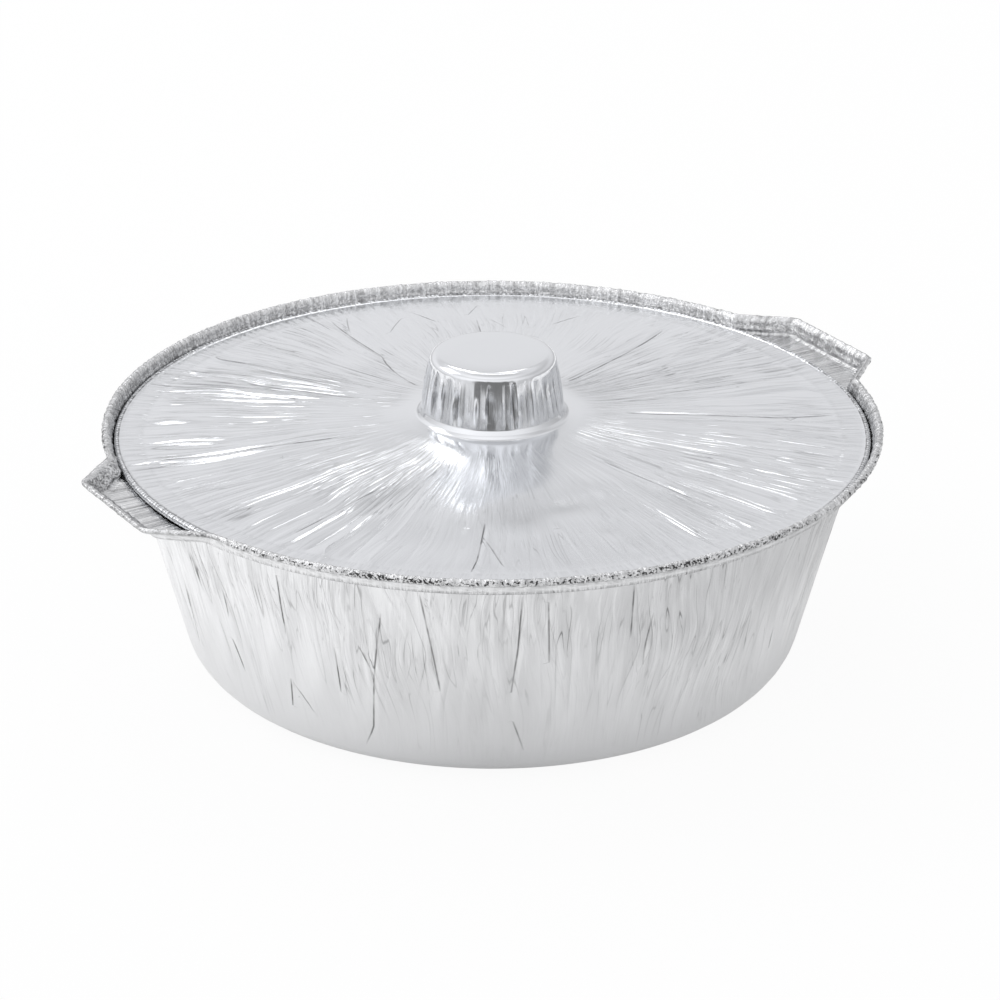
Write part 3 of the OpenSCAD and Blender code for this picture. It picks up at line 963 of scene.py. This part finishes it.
def lidSheet():
    section, coneIn, coneOut = lidSection()
    half = lid["foil"] / 2
    last = len(section.at) - 1
    topCounts = {"knobTop": 180, "shoulder": 360, "knobWall": 720, "footRing": 720, "cone": 1440,
                 "ring": 1440, "bead": 1440}
    underCounts = {"knobTop": 90, "shoulder": 180, "knobWall": 180, "footRing": 180, "cone": 360,
                   "ring": 720, "bead": 720}
    sheet = Sheet()
    sheet.tip(section.at[0][1] + half)
    for k in range(1, last + 1):
        zone, share = section.zone[k]
        count = 720 if zone == "cone" and share < 0.28 else topCounts[zone]
        sheet.ring(*lidRing(section, k, 1, count, coneIn, coneOut))
    for k in range(last, 0, -1):
        zone, share = section.zone[k]
        if zone not in ("ring", "footRing") and k % 2:
            continue
        sheet.ring(*lidRing(section, k, -1, underCounts[zone], coneIn, coneOut))
    sheet.tip(section.at[0][1] - half)
    return sheet


def dress(piece, node, finish):
    piece.data.materials.append(finish)
    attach(piece, "root")
    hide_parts(node)


dress(potSheet().piece("pot_foil_body"), "pot", foilFinish("potFoil", foilLooks["pot"]))
print("pot made")
dress(lidSheet().piece("lid_foil_sheet"), "lid", foilFinish("lidFoil", foilLooks["lid"]))
print("lid made")


# Studio: a pale table top, a soft room and four lamps. Turns are from straight away from the
# camera, to the right; heights are degrees above level. Four numbers in brackets are an ease: from,
# to, value before, value after. The table's go by the distance from its middle in metres, and shape
# how bright the foil sees it: a painted shadow of the pot near its foot, painted light to the left
# and painted shade to the right.
cameraTurn = -31.5
studio = {
    "tableFront": 0.62,
    "tableRest": 4.0,
    "tableWhite": 0.92,
    "tableSeen": 0.93,
    "tableInFoil": 0.5,
    "tableNear": (0.105, 0.16, 0.53, 0.96),
    "tableFar": (0.22, 0.55, 0.0, 0.28),
    "tableLeft": (0.11, 0.165, 0.28, 0.0),
    "leftTilt": 0.62,
    "rightTilt": (0.125, 0.165, -0.6, 1.0),
    "tiltEnds": (0.25, 0.45, 1.0, 0.0),
    "room": ((0.0, 0.60), (0.10, 0.70), (0.22, 0.86), (0.36, 0.88), (0.44, 0.825), (0.52, 0.71),
             (0.62, 0.74), (0.76, 0.93), (0.88, 0.86), (0.96, 0.70)),
    "rightDimmer": 0.18,
    "frontGlow": (0.0, 0.8, 0.0, 0.25),
    "roomBlue": 1.015,
    "tablePanels": 26.0,
    "tableShade": (0.11, 0.15, 0.0, 0.14),
    "tableTilt": 0.43,
    "darkCorner": 0.17,
    "darkSpread": 33.0,
    "darkBlur": 0.07,
    "darkTop": (0.10, 0.30, 1.0, 0.0),
    "lampDistance": 2.0,
    "lamps": {
        "streakLamp": {"turn": -17, "height": 50, "wide": 4.5, "tall": 6.5, "bright": 3.6},
        "rightLamp": {"turn": 7, "height": 47, "wide": 2.5, "tall": 6, "bright": 2.1},
        "leftBox": {"turn": -80, "height": 40, "wide": 14, "tall": 12, "bright": 2.0},
        "overhead": {"turn": 0, "height": 74, "wide": 16, "tall": 5, "bright": 1.1},
    },
}


def awayDirection(turn, height):
    a, e = math.radians(cameraTurn + turn), math.radians(height)
    return Vector((-math.sin(a) * math.cos(e), math.cos(a) * math.cos(e), math.sin(e)))


def rightOf(turn):
    # a positive turn goes to the camera's right
    return -turn


def makeFloor():
    away, side = awayDirection(0, 0), awayDirection(-90, 0)
    front, rest = studio["tableFront"], studio["tableRest"]
    corners = [side * rest - away * front, side * -rest - away * front,
               side * -rest + away * rest, side * rest + away * rest]
    mesh = bpy.data.meshes.new("floor")
    mesh.from_pydata([tuple(c) for c in corners], [], [(0, 1, 2, 3)])
    material, bench = newFinish("paleTable")
    rays = {name: bench.node("ShaderNodeLightPath", output=number)
            for name, number in (("camera", 0), ("glossy", 3), ("through", 6))}
    white = studio["tableWhite"]
    cover = bench.node("ShaderNodeBsdfDiffuse", inputs={"Color": (white, white, white, 1)})
    place = bench.node("ShaderNodeTexCoord", output=3)
    off = bench.vector("LENGTH", place, output=1)
    toRight = bench.vector("DOT_PRODUCT", bench.vector("NORMALIZE", place), tuple(side), output=1)
    toLeft = toRight.maths("MINIMUM", toRight, 0.0)
    toRight = toLeft * studio["leftTilt"] + (toRight - toLeft) * bench.ease(off, *studio["rightTilt"])
    toRight = toRight * bench.ease(off, *studio["tiltEnds"])
    split = bench.node("ShaderNodeSeparateXYZ", inputs={0: place})
    across = bench.node("ShaderNodeSeparateXYZ", inputs={0: place}, output=1)
    # level is how bright the foil sees the table: painted shadow near the pot, lighter to the left and
    # darker to the right as painted light and shade, with painted light and dark wedges
    level = bench.ease(off, *studio["tableNear"]) + bench.ease(off, *studio["tableFar"])
    level = level * (1.0 - toRight * studio["tableTilt"])
    level = level - toLeft * bench.ease(off, *studio["tableLeft"])
    panelled = bench.ease(off, *studio["tableShade"])
    level = level * bench.panels(split, across, studio["tablePanels"], panelled)
    shown = 1.0 + rays["glossy"] * (level - 1.0)
    glow = bench.node("ShaderNodeEmission", inputs={"Color": shown, "Strength": 1.0})
    share = rays["camera"] * studio["tableSeen"] + rays["glossy"] * studio["tableInFoil"]
    share = share + rays["through"] * studio["tableSeen"]
    surface = bench.node("ShaderNodeMixShader", inputs={0: share, 1: cover, 2: glow})
    bench.node("ShaderNodeOutputMaterial", inputs={"Surface": surface})
    mesh.materials.append(material)
    inScene("floor", mesh)


def makeWorld():
    world = bpy.data.worlds.new("softStudio")
    bpy.context.scene.world = world
    world.use_nodes = True
    bench = Bench(world.node_tree)
    way = bench.node("ShaderNodeTexCoord", output=0)
    height = bench.vector("DOT_PRODUCT", way, (0, 0, 1), output=1)
    stops = [(place, (grey, grey, grey * studio["roomBlue"], 1)) for place, grey in studio["room"]]
    room = bench.node("ShaderNodeValToRGB", {"stops": stops}, {"Fac": height})
    behind = bench.vector("DOT_PRODUCT", way, tuple(-awayDirection(0, 0)), output=1)
    spread = math.cos(math.radians(studio["darkSpread"]))
    dark = bench.ease(behind, spread - studio["darkBlur"], spread + studio["darkBlur"])
    dark = dark * bench.ease(height, *studio["darkTop"])
    grey = studio["darkCorner"]
    parts = {"Factor": dark, 6: room, 7: (grey, grey, grey, 1)}
    seenRoom = bench.node("ShaderNodeMix", {"data_type": "RGBA"}, parts, output=2)
    toRight = bench.vector("DOT_PRODUCT", way, tuple(awayDirection(-90, 0)), output=1)
    strength = 1.0 - toRight * studio["rightDimmer"] + bench.ease(behind, *studio["frontGlow"])
    soft = bench.node("ShaderNodeBackground", inputs={"Color": seenRoom, "Strength": strength})
    camera = bench.node("ShaderNodeLightPath", output=0)
    white = bench.node("ShaderNodeBackground", inputs={"Color": (1, 1, 1, 1), "Strength": 1.0})
    mixed = bench.node("ShaderNodeMixShader", inputs={0: camera, 1: soft, 2: white})
    bench.node("ShaderNodeOutputWorld", inputs={"Surface": mixed})


def makeLamp(name, lamp):
    distance = studio["lampDistance"]
    light = bpy.data.lights.new(name, "AREA")
    light.shape = "RECTANGLE"
    light.size = 2 * distance * math.tan(math.radians(lamp["wide"]))
    light.size_y = 2 * distance * math.tan(math.radians(lamp["tall"]))
    light.energy = lamp["bright"] * math.pi * light.size * light.size_y
    made = inScene(name, light)
    way = awayDirection(rightOf(lamp["turn"]), lamp["height"])
    made.location = way * distance
    made.rotation_mode = "QUATERNION"
    made.rotation_quaternion = way.to_track_quat("Z", "Y")


makeFloor()
makeWorld()
for lampName, lampSettings in studio["lamps"].items():
    makeLamp(lampName, lampSettings)
print("studio made")


# Camera: the photograph's own place, aimed by turning and not by shift
photoView = {
    "pixels": 1000,
    "sensor": 36.0,
    "height": 26.129,
    "distance": 1.3,
    "focalPixels": 3649.2,
    "tiltUp": 2.236,
    "panLeft": -0.120,
    "roll": 0.157,
}


def turned(first, second, degrees):
    c, s = math.cos(math.radians(degrees)), math.sin(math.radians(degrees))
    return first * c + second * s, second * c - first * s


def makeCamera():
    a, e = math.radians(cameraTurn), math.radians(photoView["height"])
    back = Vector((math.sin(a) * math.cos(e), -math.cos(a) * math.cos(e), math.sin(e)))
    right = Vector((math.cos(a), math.sin(a), 0))
    ahead, up = turned(-back, right.cross(-back), photoView["tiltUp"])
    right, ahead = turned(right, ahead, photoView["panLeft"])
    right, up = turned(right, up, photoView["roll"])
    data = bpy.data.cameras.new("photoCamera")
    data.sensor_width = photoView["sensor"]
    data.lens = photoView["focalPixels"] / photoView["pixels"] * data.sensor_width
    data.clip_start, data.clip_end = 0.05, 50.0
    camera = inScene("photoCamera", data)
    camera.matrix_world = Matrix((right, up, -ahead)).transposed().to_4x4()
    camera.location = back * photoView["distance"]
    bpy.context.scene.camera = camera


makeCamera()
bpy.context.scene.view_settings.view_transform = "Standard"
print("camera made")
